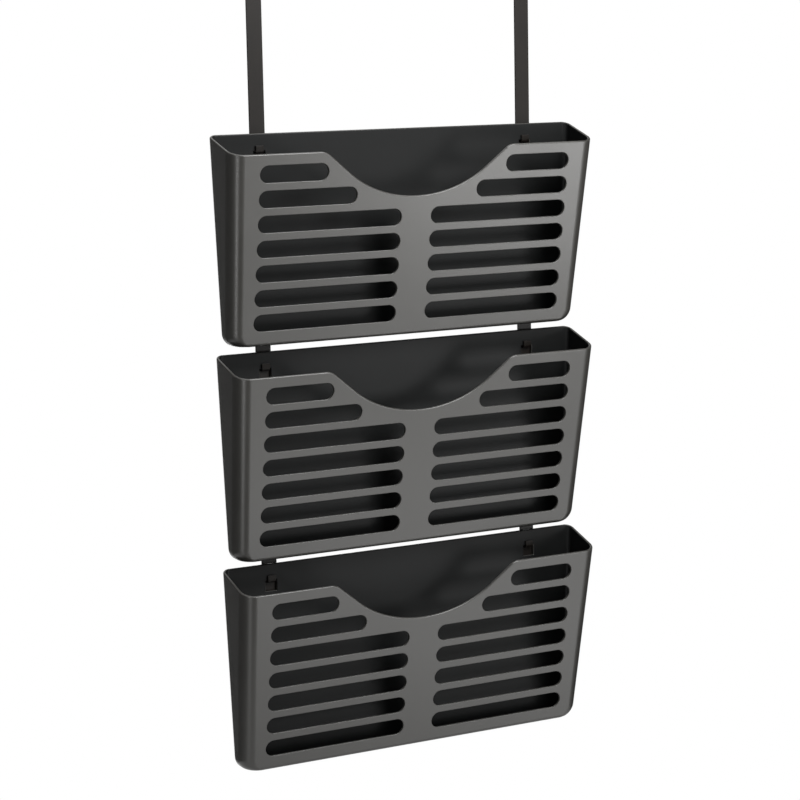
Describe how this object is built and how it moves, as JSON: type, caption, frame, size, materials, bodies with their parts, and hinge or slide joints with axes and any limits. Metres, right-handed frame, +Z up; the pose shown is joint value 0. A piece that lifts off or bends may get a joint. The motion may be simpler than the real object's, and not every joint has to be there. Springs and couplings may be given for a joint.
{
  "type": "hanging wall file",
  "caption": "Letter-size hanging wall file: slotted pockets one above another on long steel hangers that clamp over a partition.",
  "frame": {"origin": "on the back face of the top pocket, on the centre line, level with its front rim", "axes": "+X to the right as seen from the front, +Y towards the partition, +Z up"},
  "size_m": [0.342, 0.1195, 0.7214],
  "materials": {
    "charcoal_polystyrene": "satin moulded plastic with a fine texture",
    "black_painted_steel": "satin black paint",
    "zinc_plated_steel": "clear zinc plating"
  },
  "bodies": {
    "hangers": {"hanger_left": "black_painted_steel", "hanger_right": "black_painted_steel"},
    "pocket_top": {"pocket_top": "charcoal_polystyrene"},
    "pocket_middle": {"pocket_middle": "charcoal_polystyrene"},
    "pocket_bottom": {"pocket_bottom": "charcoal_polystyrene"},
    "hook_left": {"rear_hook_left": "black_painted_steel", "clamp_screw_left": "zinc_plated_steel", "washer_left": "zinc_plated_steel"},
    "nut_left": {"thumb_nut_left": "zinc_plated_steel"},
    "hook_right": {"rear_hook_right": "black_painted_steel", "clamp_screw_right": "zinc_plated_steel", "washer_right": "zinc_plated_steel"},
    "nut_right": {"thumb_nut_right": "zinc_plated_steel"}
  },
  "joints": [
    {"name": "lift_top", "type": "slide", "parent": "hangers", "child": "pocket_top", "axis": [0, 0, 1], "range_m": [0, 0.006]},
    {"name": "lift_middle", "type": "slide", "parent": "hangers", "child": "pocket_middle", "axis": [0, 0, 1], "range_m": [0, 0.006]},
    {"name": "lift_bottom", "type": "slide", "parent": "hangers", "child": "pocket_bottom", "axis": [0, 0, 1], "range_m": [0, 0.006]},
    {"name": "hook_slide_left", "type": "slide", "parent": "hangers", "child": "hook_left", "axis": [0, 1, 0], "range_m": [-0.013, 0.017]},
    {"name": "nut_turn_left", "type": "hinge", "parent": "hook_left", "child": "nut_left", "pos_m": [-0.126, 0.0413, 0.195], "axis": [0, 0, 1], "continuous": true},
    {"name": "hook_slide_right", "type": "slide", "parent": "hangers", "child": "hook_right", "axis": [0, 1, 0], "range_m": [-0.013, 0.017]},
    {"name": "nut_turn_right", "type": "hinge", "parent": "hook_right", "child": "nut_right", "pos_m": [0.126, 0.0413, 0.195], "axis": [0, 0, 1], "continuous": true}
  ]
}
